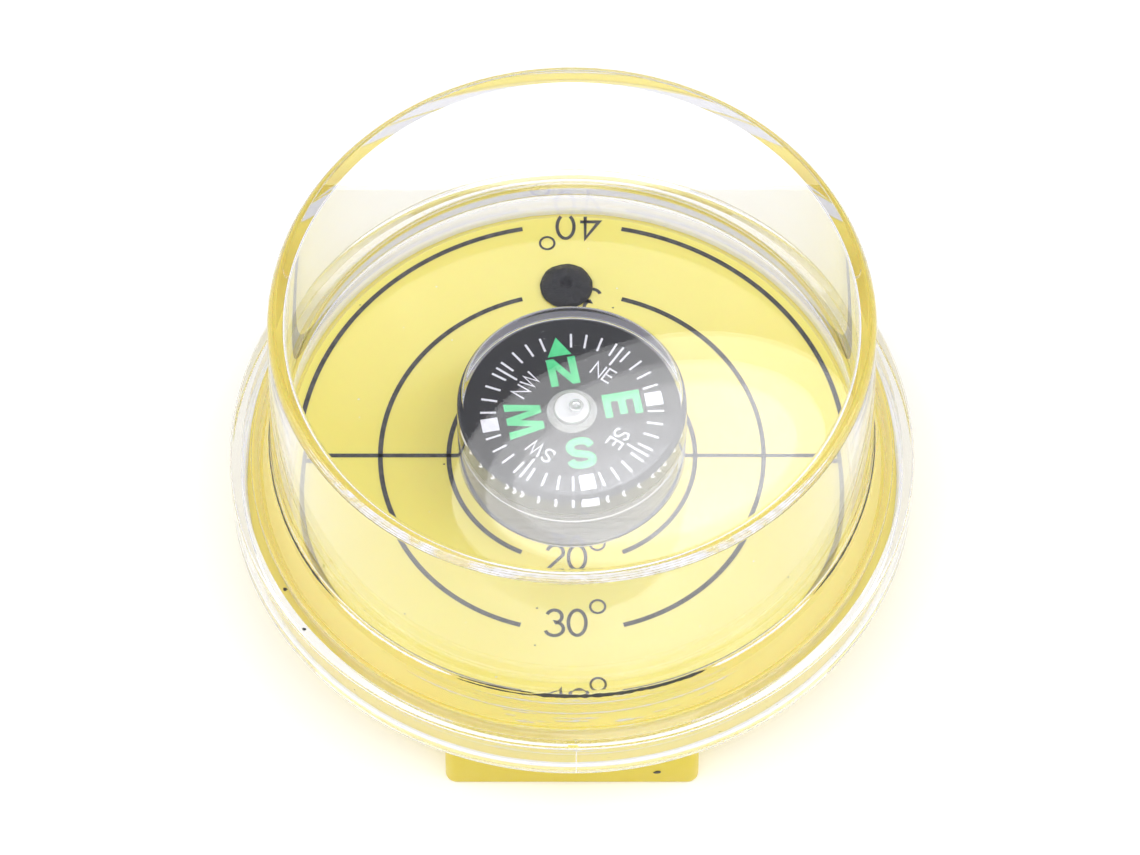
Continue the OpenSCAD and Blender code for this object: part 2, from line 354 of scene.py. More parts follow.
def clear_plastic(name, tint, ior, rough, scratch):
    """Clear moulding: fine scratches in the gloss, and light passes it to what is inside."""
    mat, nodes, links, shader = new_material(name)
    shader.inputs["Base Color"].default_value = (*tint, 1.0)
    shader.inputs["Transmission Weight"].default_value = 1.0
    shader.inputs["IOR"].default_value = ior
    grain = noise_tex(nodes, links, 900.0, 4.0, 0.6, (1.0, 6.0, 1.0))
    links.new(ramp(nodes, links, grain.outputs["Fac"], [(0.55, rough), (0.75, rough + scratch)]),
              shader.inputs["Roughness"])
    swell = noise_tex(nodes, links, 60.0, 1.0, 0.4)
    bump(nodes, links, swell.outputs["Fac"], shader, 0.1, 0.01 * MM)
    path = nodes.new("ShaderNodeLightPath")
    either = nodes.new("ShaderNodeMath")
    either.operation = "MAXIMUM"
    links.new(path.outputs["Is Shadow Ray"], either.inputs[0])
    links.new(path.outputs["Is Diffuse Ray"], either.inputs[1])
    through = nodes.new("ShaderNodeBsdfTransparent")
    through.inputs["Color"].default_value = (0.96, 0.96, 0.965, 1.0)
    mix = nodes.new("ShaderNodeMixShader")
    links.new(either.outputs[0], mix.inputs["Fac"])
    links.new(shader.outputs[0], mix.inputs[1])
    links.new(through.outputs[0], mix.inputs[2])
    links.new(mix.outputs[0], nodes["Material Output"].inputs["Surface"])
    return mat


def moulded(name, light, deep, rough, sss=0.0, sss_radius=(1.0, 0.7, 0.2), grain=0.02):
    """Moulded plastic: slow drift between two colours, fine surface grain, soft inner glow."""
    mat, nodes, links, shader = new_material(name)
    drift = noise_tex(nodes, links, 55.0, 2.0, 0.5)
    links.new(ramp(nodes, links, drift.outputs["Fac"], [(0.3, deep), (0.7, light)]),
              shader.inputs["Base Color"])
    polish = noise_tex(nodes, links, 700.0, 3.0, 0.6)
    links.new(ramp(nodes, links, polish.outputs["Fac"], [(0.35, rough), (0.75, rough * 1.5)]),
              shader.inputs["Roughness"])
    bump(nodes, links, polish.outputs["Fac"], shader, 0.25, grain * MM)
    if sss:
        shader.inputs["Subsurface Weight"].default_value = sss
        shader.inputs["Subsurface Radius"].default_value = sss_radius
        shader.inputs["Subsurface Scale"].default_value = 1.2 * MM
    return mat


def printed(name, light, deep, rough=0.45, scale=1500.0):
    """Ink: slightly uneven cover, finely rough."""
    mat, nodes, links, shader = new_material(name)
    patch = noise_tex(nodes, links, scale, 4.0, 0.65)
    links.new(ramp(nodes, links, patch.outputs["Fac"], [(0.35, deep), (0.68, light)]),
              shader.inputs["Base Color"])
    shader.inputs["Roughness"].default_value = rough
    bump(nodes, links, patch.outputs["Fac"], shader, 0.3, 0.01 * MM)
    return mat


def metal(name, light, deep, rough):
    """Pressed or ground metal with fine directional marks."""
    mat, nodes, links, shader = new_material(name)
    marks = noise_tex(nodes, links, 1200.0, 4.0, 0.6, (1.0, 5.0, 1.0))
    links.new(ramp(nodes, links, marks.outputs["Fac"], [(0.3, deep), (0.7, light)]),
              shader.inputs["Base Color"])
    shader.inputs["Metallic"].default_value = 1.0
    links.new(ramp(nodes, links, marks.outputs["Fac"], [(0.3, rough), (0.8, rough * 1.8)]),
              shader.inputs["Roughness"])
    bump(nodes, links, marks.outputs["Fac"], shader, 0.3, 0.02 * MM)
    return mat


def rubber(name):
    """Black rubber with scuffs and pale dust in the scratches."""
    mat, nodes, links, shader = new_material(name)
    pale_streaks = noise_tex(nodes, links, 2600.0, 5.0, 0.7, (1.0, 3.5, 1.0))
    links.new(ramp(nodes, links, pale_streaks.outputs["Fac"],
                   [(0.56, (0.008, 0.008, 0.010)), (0.66, (0.03, 0.03, 0.034)),
                    (0.78, (0.20, 0.20, 0.21))]), shader.inputs["Base Color"])
    links.new(ramp(nodes, links, pale_streaks.outputs["Fac"], [(0.4, 0.32), (0.7, 0.6)]),
              shader.inputs["Roughness"])
    bump(nodes, links, pale_streaks.outputs["Fac"], shader, 0.8, 0.12 * MM)
    return mat


def milky(name):
    """Half-clear plastic of the collar under the hub."""
    mat, nodes, links, shader = new_material(name)
    cloud = noise_tex(nodes, links, 900.0, 2.0, 0.5)
    links.new(ramp(nodes, links, cloud.outputs["Fac"],
                   [(0.3, (0.70, 0.71, 0.66)), (0.7, (0.86, 0.87, 0.84))]),
              shader.inputs["Base Color"])
    links.new(ramp(nodes, links, cloud.outputs["Fac"], [(0.3, 0.10), (0.7, 0.18)]),
              shader.inputs["Roughness"])
    shader.inputs["Transmission Weight"].default_value = 0.62
    shader.inputs["IOR"].default_value = 1.6
    bump(nodes, links, cloud.outputs["Fac"], shader, 0.3, 0.02 * MM)
    return mat


def painted_rim_highlight(name):
    """Painted highlight: plastic painted white in streaks, clear between them, standing in for the
    white backdrop seen through the rim.
    """
    mat, nodes, links, shader = new_material(name)
    shader.inputs["Base Color"].default_value = (0.82, 0.82, 0.88, 1.0)
    streak = noise_tex(nodes, links, 260.0, 3.0, 0.55, (0.6, 3.0, 3.0))
    links.new(ramp(nodes, links, streak.outputs["Fac"], [(0.35, 0.15), (0.7, 0.5)]),
              shader.inputs["Roughness"])
    bump(nodes, links, streak.outputs["Fac"], shader, 0.6, 0.03 * MM)
    cover = ramp(nodes, links, streak.outputs["Fac"], [(0.38, 0.15), (0.56, 0.88)])
    through = nodes.new("ShaderNodeBsdfTransparent")
    mix = nodes.new("ShaderNodeMixShader")
    links.new(cover, mix.inputs["Fac"])
    links.new(through.outputs[0], mix.inputs[1])
    links.new(shader.outputs[0], mix.inputs[2])
    links.new(mix.outputs[0], nodes["Material Output"].inputs["Surface"])
    return mat


MATERIALS = {
    # Painted highlight for the near rim.
    "pale_streaks": painted_rim_highlight("rim_painted_highlight"),
    "cover": clear_plastic("clear_cover_plastic", (0.958, 0.960, 0.982), 1.49, 0.0, 0.05),
    "capsule": clear_plastic("capsule_plastic", (0.97, 0.98, 0.99), 1.45, 0.0, 0.05),
    "collar": milky("float_collar_plastic"),
    "dial": moulded("dial_yellow", (0.97, 0.84, 0.205), (0.95, 0.81, 0.18), 0.085, 0.35),
    # Base and foot are one yellow plastic in two copies: the base's is lighter, for the dim light
    # under the flange (painted light), and the foot's is darker, against the bright light from the
    # floor (painted shade).
    "base": moulded("base_yellow_lit_copy", (0.88, 0.76, 0.19), (0.84, 0.71, 0.15), 0.30, 0.35),
    "foot": moulded("foot_yellow_shaded_copy", (0.68, 0.55, 0.038), (0.63, 0.50, 0.032), 0.30, 0.35),
    # Pale glue for the bead, the seam and the dust, also used as painted light: the highlight in
    # the crease and the reflection of the floor under the far flange.
    "glue": moulded("clear_glue_and_painted_light", (0.97, 0.96, 0.92), (0.91, 0.90, 0.84), 0.25, 0.3),
    "pad": moulded("adhesive_pad", (0.68, 0.67, 0.69), (0.58, 0.57, 0.60), 0.3, 0.3),
    "rubber": rubber("black_rubber"),
    "card": moulded("card_black", (0.010, 0.010, 0.012), (0.006, 0.006, 0.008), 0.35),
    "magnet": moulded("magnet_grey", (0.05, 0.05, 0.055), (0.03, 0.03, 0.033), 0.5),
    "dial_ink": printed("dial_ink", (0.10, 0.097, 0.09), (0.035, 0.035, 0.032)),
    "white_ink": printed("white_ink", (0.92, 0.92, 0.93), (0.80, 0.80, 0.83)),
    "green_ink": printed("green_ink", (0.12, 0.80, 0.32), (0.07, 0.66, 0.24)),
    # Dark ink for the dust and specks, also used as painted shade in the cover's crease.
    "dust_and_shade": printed("dust_and_crease_shade", (0.05, 0.048, 0.04), (0.012, 0.012, 0.01), 0.35, 2500.0),
    "dimple": metal("dimpled_stop", (0.86, 0.86, 0.85), (0.34, 0.34, 0.34), 0.16),
    "silver": metal("silver_cap", (0.93, 0.93, 0.92), (0.80, 0.80, 0.79), 0.30),
    "steel": metal("screw_steel", (0.62, 0.62, 0.64), (0.50, 0.50, 0.52), 0.28),
    "jewel": moulded("jewel_red", (0.45, 0.03, 0.08), (0.30, 0.02, 0.05), 0.1),
}


def dress(obj, material, body=None, stands_for=()):
    """Gives a piece its material, body, slot and the CAD nodes that it stands for."""
    obj.data.materials.clear()
    obj.data.materials.append(MATERIALS[material])
    if body:
        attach(obj, body)
    if stands_for:
        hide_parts(*stands_for)
    return obj


# ---------------------------------------------------------------- clear cover
def build_cover():
    """Clear cup with a flat top, a flared foot, a flange and a skirt."""
    outer = [(0, COVER_TOP, 0), (COVER_TOP_R, COVER_TOP, COVER_TOP_BEND),
             (COVER_R, FLARE_Z, CORNER_BEND), (FLARE_OUT_R, FLANGE_Z, 0.5 * MM),
             (FLANGE_R, FLANGE_Z, 0.25 * MM), (FLANGE_R, SKIRT_LOW, 0.15 * MM)]
    skirt_in = FLANGE_R - SKIRT_WALL
    inner = [(skirt_in, SKIRT_LOW, 0.15 * MM), (skirt_in, FLANGE_Z - FLANGE_T, 0.05 * MM),
             (FLARE_OUT_R, FLANGE_Z - FLANGE_T, 0.05 * MM),
             (FLARE_OUT_R, BASE_TOP - BOND, 0.05 * MM),
             (COVER_R - COVER_WALL, BASE_TOP - BOND, 0.05 * MM),
             (COVER_TOP_R - COVER_WALL, COVER_TOP - COVER_WALL, 0.3 * MM),
             (0, COVER_TOP - COVER_WALL, 0)]
    cover = revolve("clear_cover_shell", filleted(outer + inner, 9.0, False), 256, False)
    return dress(cover, "cover", "case", ["clear_cover"])


def wavy_band(bm, start_deg, end_deg, edge_a, edge_b, lift, waver, seed):
    """Adds a thin strip round the axis between two (r, z) edges, tapered at its ends."""
    steps = max(12, int(abs(end_deg - start_deg) * 3))
    taper_rate, tip = 14, 0.01
    rows = []
    for k in range(steps + 1):
        t = k / steps
        a = math.radians(start_deg + (end_deg - start_deg) * t)
        taper = min(1.0, taper_rate * t, taper_rate * (1 - t)) * (1 - tip) + tip
        half = 0.5 * taper * (1 + waver * noise.noise(Vector((t * steps * 0.35, seed, 0.4))))
        drift = 0.5 + 0.25 * waver * noise.noise(Vector((t * steps * 0.12, seed, 9.1)))
        row = []
        for place, height in ((drift - half, lift), (drift + half, lift), (drift + half, 0.0),
                              (drift - half, 0.0)):
            r = edge_a[0] + (edge_b[0] - edge_a[0]) * place
            z = edge_a[1] + (edge_b[1] - edge_a[1]) * place
            out = Vector((edge_a[1] - edge_b[1], edge_b[0] - edge_a[0])).normalized() * height
            row.append(bm.verts.new(((r + out.x) * math.cos(a), (r + out.x) * math.sin(a),
                                     z + out.y)))
        rows.append(row)
    tube_faces(bm, rows)


def build_corner_line():
    """Painted shade: dark line lying in the corner where the wall meets the flare, with pale
    stretches of painted highlight.
    """
    wall = Vector((COVER_TOP_R - COVER_R, COVER_TOP - FLARE_Z)).normalized()
    flare = Vector((FLARE_OUT_R - COVER_R, FLANGE_Z - FLARE_Z)).normalized()
    half = wall.angle(flare) / 2
    inward = CORNER_BEND * (1 / math.sin(half) - 1)
    middle = Vector((COVER_R, FLARE_Z)) + (wall + flare).normalized() * inward
    along = (flare - wall).normalized()

    def edges(place, width):
        centre = middle + along * place * MM
        return centre - along * width / 2 * MM, centre + along * width / 2 * MM

    dark, pale = bmesh.new(), bmesh.new()
    # Painted shade: dark bands lying in the crease.
    for start, end, place, width in ((-98, -64, 0.0, 0.38), (-112, -97, -0.18, 0.13),
                                     (-112, -97, 0.14, 0.12), (-38, 26, 0.0, 0.30),
                                     (154, 219, 0.0, 0.30)):
        wavy_band(dark, start, end, *edges(place, width), 0.02 * MM, 0.5, start)
    # Painted highlight: pale bands in the crease on the front diagonals.
    for start, end in ((-140, -113), (-63, -39)):
        wavy_band(pale, start, end, *edges(0.0, 0.26), 0.02 * MM, 0.5, start)
    dress(finish_mesh("corner_painted_shade", dark), "dust_and_shade", "case")
    dress(finish_mesh("corner_painted_highlight", pale), "glue", "case")


def build_rim_highlight():
    """Painted highlight: pale streaks along the near half of the cover's rounded top edge, standing
    in for the white backdrop seen through the rim.
    """
    bm = bmesh.new()
    centre = Vector((COVER_TOP_R - COVER_TOP_BEND, COVER_TOP - COVER_TOP_BEND))
    streaks = ((20, 31, -146, -38, 0.4), (33, 46, -152, -30, 0.3),
               (49, 62, -150, -34, 0.4), (66, 75, -140, -44, 0.6))
    for low_deg, high_deg, start, end, waver in streaks:
        inner, outer = math.radians(low_deg), math.radians(high_deg)
        a = centre + Vector((math.sin(inner), math.cos(inner))) * COVER_TOP_BEND
        b = centre + Vector((math.sin(outer), math.cos(outer))) * COVER_TOP_BEND
        wavy_band(bm, start, end, b, a, -0.015 * MM, waver, low_deg)
    dress(finish_mesh("rim_painted_highlight", bm), "pale_streaks", "case")


# ---------------------------------------------------------------- dial and base
def build_dial():
    low = DIAL_Z - 1.5 * MM
    outline = filleted([(0, DIAL_Z, 0), (DIAL_R, DIAL_Z, 0.15 * MM), (DIAL_R, low, 0.1 * MM),
                        (0, low, 0)], 15.0, False)
    dial = revolve("dial_disc", outline, 256, False)
    return dress(dial, "dial", "case", ["dial_plate"])


def cut_at_edge(path, closed):
    """Splits a stroke where it runs off the dial: gives the runs that stay on it."""
    limit = DIAL_R - 0.03 * MM
    points = [Vector(p) for p in path]
    if all(p.length < limit for p in points):
        return [(points, closed)]
    if closed:
        first = next(i for i, p in enumerate(points) if p.length >= limit)
        points = points[first:] + points[:first + 1]
    runs, run = [], []
    for a, b in zip(points, points[1:]):
        if a.length < limit:
            run.append(a)
        if (a.length < limit) != (b.length < limit):
            edge = a.lerp(b, (limit - a.length) / (b.length - a.length))
            run.append(edge)
            if a.length < limit:
                runs.append((run, False))
                run = []
    if points[-1].length < limit:
        runs.append((run + [points[-1]], False))
    return runs


def build_dial_print():
    """Three rings cut for their labels, a cross line, and the labels."""
    gap = 4.4 * MM
    ring_width, line_width = 0.42 * MM, 0.38 * MM
    stroke_width, degree_width = 0.30 * MM, 0.20 * MM
    pieces = []
    for degrees, radius in ((20, 10.8), (30, 16.8), (40, 24.0)):
        bm = bmesh.new()
        cut = math.degrees(math.asin(gap / (radius * MM)))
        for start in (-90 + cut, 90 + cut):
            ribbon(bm, arc(0, 0, radius * MM, radius * MM, start, start + 180 - 2 * cut, 96),
                   ring_width, DIAL_Z, INK)
        pieces.append(finish_mesh(f"ring_{degrees}", bm))
    bm = bmesh.new()
    for side in (-1, 1):
        ribbon(bm, [(side * 6.0 * MM, 0), (side * 24.0 * MM, 0)], line_width, DIAL_Z, INK)
    pieces.append(finish_mesh("cross_line", bm))
    high = 2.5 * MM
    for name, turn, left, space in (("front", 0.0, -2.21, 0.16), ("back", math.pi, -2.43, 0.24)):
        for text, radius, mark_r in (("20", 10.4, 9.0), ("30", 16.0, 14.4), ("40", 23.85, 22.1)):
            bm = bmesh.new()
            x = left * MM
            for char in text:
                width, strokes = glyph_strokes(char)
                for path, closed in strokes:
                    local = [(p[0] * high + x, (p[1] - 0.5) * high - radius * MM) for p in path]
                    for run, ring in cut_at_edge(local, closed):
                        ribbon(bm, Place(0, 0, turn)(run), stroke_width, DIAL_Z, INK, ring)
                x += (width + space) * high
            circle = arc(2.2 * MM, -mark_r * MM, 0.64 * MM, 0.64 * MM, 0, 360, 36)[:-1]
            ribbon(bm, Place(0, 0, turn)(circle), degree_width, DIAL_Z, INK, True)
            pieces.append(finish_mesh(f"label_{text}_{name}", bm))
    for piece in pieces:
        dress(piece, "dial_ink", "case")


def build_base():
    """Base disc with a low pedestal, rounded edges and a groove in its underside."""
    low, r = foot_high.z, base_high.x
    pedestal_top, pedestal_r = DIAL_Z - 1.6 * MM, DIAL_R - 0.3 * MM
    groove_in, groove_out, groove_top = r - 2.6 * MM, r - 1.6 * MM, low + 0.3 * MM
    outline = filleted([
        (0, pedestal_top, 0), (pedestal_r, pedestal_top, 0.1 * MM),
        (pedestal_r, BASE_TOP, 0.2 * MM), (r, BASE_TOP, 0.15 * MM), (r, low, 0.25 * MM),
        (groove_out, low, 0.1 * MM), (groove_out, groove_top, 0.1 * MM),
        (groove_in, groove_top, 0.1 * MM), (groove_in, low, 0.1 * MM), (0, low, 0)], 15.0, False)
    base = revolve("base_disc", outline, 256, False)
    return dress(base, "base", "case", ["base_shell"])


def build_glue():
    """Wavy bead of glue in the corner between the skirt and the base, a pale sheet of painted
    reflection, and thin marks.
    """
    reach = 0.5 * MM

    def shape(co):
        wave = noise.noise(Vector((co.x, co.y, co.z)) * 420.0)
        swell = noise.noise(Vector((co.x, co.y, 0.3)) * 1500.0)
        inner = (bead_high.x - co.xy.length) / reach
        k = 1.0 - (0.10 * wave + 0.06 * swell) * reach / co.xy.length * inner
        return Vector((co.x * k, co.y * k, co.z))

    r, low, high = bead_high.x, bead_low.z, bead_high.z
    outline = filleted([
        (r, low, 0), (r, high, 0.05 * MM), (r - 0.28 * MM, high - 0.1 * MM, 0.15 * MM),
        (r - 0.48 * MM, low, 0.02 * MM)], 20.0, True)
    bead = revolve("glue_bead", outline, 360, True, shape)
    dress(bead, "glue", "case", ["cover_glue_ring"])
    # Painted reflection: a pale sheet on the base under the far side of the flange, standing in for
    # the white floor seen there through the clear flange.
    film = bmesh.new()
    z, thick = BASE_TOP - BOND, 0.03 * MM
    wavy_band(film, 28, 152, (27.1 * MM, z), (27.9 * MM, z), thick, 0.05, 3.0)
    dress(finish_mesh("glue_film", film), "glue", "case")
    marks = bmesh.new()
    chance = random.Random(7)
    for _ in range(14):
        r = chance.uniform(25.7, 27.1) * MM
        start = chance.uniform(-106, -64)
        length = chance.uniform(2.0, 8.0)
        wide = chance.uniform(0.04, 0.09) * MM
        wavy_band(marks, start, start + length, (r, z), (r + wide, z), thick, 2.2, start)
    wavy_band(marks, -125, -55, (27.3 * MM, z), (27.4 * MM, z), thick, 1.0, 5.0)
    dress(finish_mesh("glue_marks", marks), "glue", "case")


def build_foot():
    """Foot bar: a block with rounded upright corners and softened edges."""
    bm = bmesh.new()
    bmesh.ops.create_cube(bm, size=1.0)
    size = foot_high - foot_low
    for v in bm.verts:
        v.co = Vector((v.co.x * size.x, v.co.y * size.y, (v.co.z + 0.5) * size.z))
    level, sharp = 1e-6, 0.5
    upright = [e for e in bm.edges if abs(e.verts[0].co.z - e.verts[1].co.z) > level]
    bmesh.ops.bevel(bm, geom=upright, offset=1.0 * MM, segments=8, profile=0.5, affect="EDGES")
    rims = [e for e in bm.edges if abs(e.verts[0].co.z - e.verts[1].co.z) < level
            and len(e.link_faces) == 2 and e.calc_face_angle(0.0) > sharp]
    bmesh.ops.bevel(bm, geom=rims, offset=0.35 * MM, segments=4, profile=0.5, affect="EDGES")
    foot = finish_mesh("foot_bar", bm, 40.0)
    return dress(foot, "foot", "case", ["foot_block"])


def build_plug():
    """Low lumpy dome of rubber with a scuffed rim and a dimple."""
    centre = (plug_low.xy + plug_high.xy) / 2
    r = (plug_high.x - plug_low.x) / 2
    top = plug_high.z
    outline = filleted([
        (0, top - 0.42 * MM, 0), (0.30 * MM, top - 0.34 * MM, 0.15 * MM),
        (0.62 * MM, top, 0.35 * MM), (1.45 * MM, top - 0.10 * MM, 0.8 * MM),
        (r - 0.28 * MM, top - 0.42 * MM, 0.35 * MM), (r, DIAL_Z + 0.18 * MM, 0.14 * MM),
        (r - 0.12 * MM, DIAL_Z, 0.05 * MM), (0, DIAL_Z, 0)], 10.0, False)

    def shape(co):
        lump = noise.noise(co * 700.0) * 0.16 + noise.noise(co * 2300.0) * 0.06
        k = 1.0 - abs(lump) * 0.35
        drop = abs(lump) * 0.9 * MM * (1.0 if co.z > DIAL_Z + 0.2 * MM else 0.0)
        return Vector((co.x * k, co.y * k, co.z - drop))

    plug = revolve("rubber_plug", outline, 128, False, shape, centre)
    return dress(plug, "rubber", "case", ["filler_plug"])


# ---------------------------------------------------------------- compass capsule
def build_capsule():
    """Closed clear body of the capsule and its liquid, with a fine groove at the seam."""
    r, low, top = CAPSULE_R, CAPSULE_LOW, CAPSULE_TOP
    nick, play = 0.12 * MM, 0.02 * MM
    outline = filleted([
        (0, top, 0), (r, top, 0.5 * MM), (r, seam_high.z, 0.05 * MM),
        (r - nick, seam_high.z, 0.03 * MM), (r - nick, seam_low.z, 0.03 * MM),
        (r, seam_low.z, 0.05 * MM), (r, low, 0.35 * MM), (0, low, 0)], 12.0, False)
    capsule = revolve("capsule_body", outline, 192, False)
    dress(capsule, "capsule", "case",
          ["capsule_dome", "capsule_base", "damping_fluid"])
    seam_in = r - nick + 0.01 * MM
    seam = revolve("capsule_seam", filleted([
        (r - play, seam_high.z - play, 0.05 * MM), (r - play, seam_low.z + play, 0.05 * MM),
        (seam_in, seam_low.z + play, 0.01 * MM), (seam_in, seam_high.z - play, 0.01 * MM)],
        20.0, True), 192, True)
    dress(seam, "glue", "case", ["capsule_seam_ring"])
    pad_low, pad_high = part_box("capsule_adhesive")
    pad = revolve("capsule_pad", filleted([
        (0, pad_high.z, 0), (pad_high.x, pad_high.z, 0.1 * MM), (pad_high.x, pad_low.z, 0.1 * MM),
        (0, pad_low.z, 0)], 20.0, False), 128, False)
    dress(pad, "pad", "case", ["capsule_adhesive"])


def build_stop():
    """Dimpled stop over the hub, moulded in the capsule's lid."""
    low, high, r, shift = hub_high.z + 0.1 * MM, CAPSULE_TOP - 0.8 * MM, 0.65 * MM, 0.35 * MM
    outline = filleted([(0, high - 0.25 * MM, 0), (0.35 * MM, high - 0.12 * MM, 0.1 * MM),
                        (0.5 * MM, high, 0.08 * MM), (r, high - 0.05 * MM, 0.08 * MM),
                        (r - 0.05 * MM, low, 0.1 * MM), (0, low, 0)], 15.0, False)
    stop = revolve("card_stop", outline, 64, False, None, (shift, 0))
    return dress(stop, "dimple", "case")


# ---------------------------------------------------------------- card
def build_card():
    """Card disc, the collar on it, and the silver cap."""
    outline = filleted([(0, CARD_Z, 0), (CARD_R, CARD_Z, 0.06 * MM),
                        (CARD_R, card_low.z, 0.06 * MM), (0, card_low.z, 0)], 20.0, False)
    card = revolve("card_disc", outline, 192, False)
    dress(card, "card", "card", ["compass_card"])
    collar_r, collar_in = 2.2 * MM, hub_high.x + 0.02 * MM
    shelf, seat = CARD_Z + 0.42 * MM, CARD_Z + 0.03 * MM
    collar = revolve("float_collar", filleted([
        (collar_in, shelf + 0.22 * MM, 0.03 * MM),
        (collar_r - 0.3 * MM, shelf + 0.1 * MM, 0.15 * MM),
        (collar_r, shelf - 0.15 * MM, 0.12 * MM), (collar_r, seat, 0.05 * MM),
        (collar_in, seat, 0)], 15.0, True), 96, True)
    dress(collar, "collar", "card", ["card_float"])
    r, top = hub_high.x, hub_high.z
    cap = revolve("silver_hub", filleted([
        (0, top - 0.04 * MM, 0), (0.5 * MM, top, 0.3 * MM), (r - 0.08 * MM, top, 0.12 * MM),
        (r, CARD_Z, 0.05 * MM), (0, CARD_Z, 0)], 12.0, False), 96, False)
    dress(cap, "silver", "card", ["hub_cap"])


def on_card(r, bearing_deg):
    """Place on the card at a radius and a bearing, clockwise from the north mark."""
    a = CARD_HEADING - math.radians(bearing_deg)
    return Place(-r * MM * math.sin(a), r * MM * math.cos(a), a)


def build_card_print():
    """Ticks, half points, main letters and the north arrow, as thin raised print."""
    tick_width, word_width = 0.20 * MM, 0.17 * MM
    ticks = bmesh.new()
    for bearing in range(0, 360, 10):
        if bearing % 90:
            line = [(0, -0.7 * MM), (0, 0.7 * MM)]
            ribbon(ticks, on_card(7.3, bearing)(line), tick_width, CARD_Z, INK)
    for bearing in range(45, 360, 90):
        line = [(0, -1.1 * MM), (0, 1.1 * MM)]
        ribbon(ticks, on_card(6.9, bearing)(line), tick_width, CARD_Z, INK)
    w, h = 0.67 * MM, 0.75 * MM
    for bearing in (90, 180, 270):
        slab(ticks, on_card(7.25, bearing)([(-w, -h), (w, -h), (w, h), (-w, h)]), CARD_Z, INK)
    dress(finish_mesh("card_ticks", ticks), "white_ink", "card")
    words = bmesh.new()
    high, space = 1.3 * MM, 0.24
    for word, bearing in (("NE", 45), ("SE", 135), ("SW", 225), ("NW", 315)):
        total = sum(glyph_strokes(c)[0] for c in word) + space
        x = -total / 2
        place = on_card(4.85, bearing)
        for char in word:
            width, strokes = glyph_strokes(char)
            for path, closed in strokes:
                local = [((p[0] + x) * high, (p[1] - 0.5) * high) for p in path]
                ribbon(words, place(local), word_width, CARD_Z, INK, closed)
            x += width + space
    dress(finish_mesh("card_words", words), "white_ink", "card")
    letters = bmesh.new()
    for char, bearing, radius, tall in (("N", 0, 4.2, 2.8), ("E", 90, 4.45, 3.3),
                                        ("S", 180, 4.25, 3.15), ("W", 270, 4.2, 3.15)):
        high = tall * MM
        width, outline, strokes = bold_glyph(char)
        place = on_card(radius, bearing)
        if outline:
            local = [((p[0] - width / 2) * high, (p[1] - 0.5) * high) for p in outline]
            slab(letters, place(local), CARD_Z, INK)
        for path, closed, thick in strokes:
            local = [((p[0] - width / 2) * high, (p[1] - 0.5) * high) for p in path]
            ribbon(letters, place(local), thick * high, CARD_Z, INK, closed)
    arrow = on_card(6.8, 0)([(-1.05 * MM, -0.95 * MM), (1.05 * MM, -0.95 * MM), (0, 0.95 * MM)])
    slab(letters, arrow, CARD_Z, INK)
    dress(finish_mesh("card_letters", letters), "green_ink", "card")


def blob(bm, place, flat_x, flat_y, size, chance):
    """Adds a tiny uneven flake in the plane of two unit vectors."""
    count, stretch, thickness = 9, 1.4, 0.12
    rim = []
    for k in range(count):
        a = TAU * k / count
        r = size / 2 * chance.uniform(0.6, 1.1)
        rim.append(place + flat_x * (r * math.cos(a) * stretch) + flat_y * (r * math.sin(a)))
    plate(bm, rim, flat_x.cross(flat_y) * (size * thickness))


def build_wear():
    """Dust on the dial and the skirt, and the cover's moulding line and gate mark."""
    chance = random.Random(11)
    dark, pale, yellow = bmesh.new(), bmesh.new(), bmesh.new()
    x, y, z = Vector((1, 0, 0)), Vector((0, 1, 0)), Vector((0, 0, 1))
    for _ in range(46):
        a, r = chance.uniform(0, TAU), 24.4 * MM * math.sqrt(chance.uniform(0.2, 1.0))
        size = chance.uniform(0.05, 0.16) * MM
        spot = Vector((r * math.cos(a), r * math.sin(a), DIAL_Z))
        blob(pale if chance.random() < 0.7 else dark, spot, x, y, size, chance)
    for _ in range(14):
        a = math.radians(chance.uniform(-150, -30))
        out = Vector((math.cos(a), math.sin(a), 0))
        height = chance.uniform(SKIRT_LOW + 0.4 * MM, FLANGE_Z - 0.5 * MM)
        spot = out * SKIRT_FACE_R + z * height
        blob(dark, spot, z.cross(out), z, chance.uniform(0.06, 0.12) * MM, chance)
    for a_deg, r in ((-142.0, 29.4), (-150.5, 28.6)):
        a = math.radians(a_deg)
        spot = Vector((r * MM * math.cos(a), r * MM * math.sin(a), FLANGE_Z))
        blob(dark, spot, x, y, 0.34 * MM, chance)
    blob(dark, Vector((7.4 * MM, foot_low.y, 2.0 * MM)), x, z, 0.5 * MM, chance)
    for _ in range(30):
        a = math.radians(chance.uniform(0, 360))
        r = chance.uniform(2.5, 9.0) * MM
        spot = Vector((r * math.cos(a), r * math.sin(a), CAPSULE_TOP))
        blob(pale, spot, x, y, chance.uniform(0.03, 0.07) * MM, chance)
    seam = math.radians(-89.3)
    out = Vector((math.cos(seam), math.sin(seam), 0))
    face, half = out * SKIRT_FACE_R, z.cross(out) * 0.04 * MM
    low, high = z * (SKIRT_LOW + 0.3 * MM), z * (FLANGE_Z - 0.4 * MM)
    plate(pale, [face - half + low, face + half + low, face + half + high, face - half + high],
          out * 0.02 * MM)
    gate_r = 29.72 * MM
    for gate_deg in (-90.36, -89.8, -89.24):
        a = math.radians(gate_deg)
        spot = Vector((math.cos(a), math.sin(a), 0)) * gate_r + z * FLANGE_Z
        blob(yellow, spot, x, y, 0.30 * MM, chance)
    dress(finish_mesh("dust_dark", dark), "dust_and_shade", "case")
    dress(finish_mesh("dust_pale", pale), "glue", "case")
    dress(finish_mesh("gate_mark", yellow), "base", "case")


